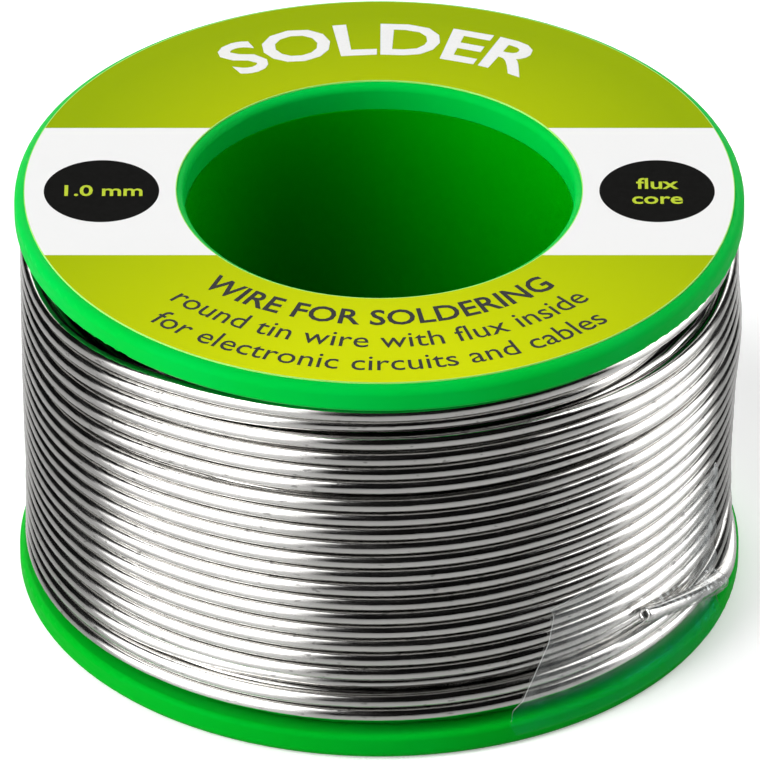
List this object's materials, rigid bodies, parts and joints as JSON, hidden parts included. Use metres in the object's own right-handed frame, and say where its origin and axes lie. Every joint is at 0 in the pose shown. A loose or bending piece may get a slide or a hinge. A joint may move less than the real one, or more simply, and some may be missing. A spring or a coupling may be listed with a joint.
{
  "type": "solder wire spool",
  "caption": "Full spool of flux-cored solder wire on a round plastic reel with a spindle bore, a printed paper label and a taped free end",
  "frame": {"origin": "centre of the lower flange's outer face, on the bore axis", "axes": "+Z is the bore axis and points up out of the labelled end; -Y is the side where the label reads upright; +X is to the right of that side"},
  "size_m": [0.05, 0.05, 0.0303],
  "materials": {
    "reel_plastic": "smooth moulded plastic, slightly see-through at thin edges",
    "label_paper": "coated printed paper with a soft sheen",
    "solder": "bright drawn tin alloy wire",
    "flux": "dark amber resin",
    "clear_tape": "thin clear film, wrinkled"
  },
  "bodies": {
    "root": {"lower_flange": "reel_plastic", "upper_flange": "reel_plastic", "barrel": "reel_plastic", "top_label": "label_paper", "solder_winding": "solder", "solder_start": "solder", "solder_tail": "solder", "tail_flux_core": "flux", "holding_tape": "clear_tape"}
  },
  "joints": []
}
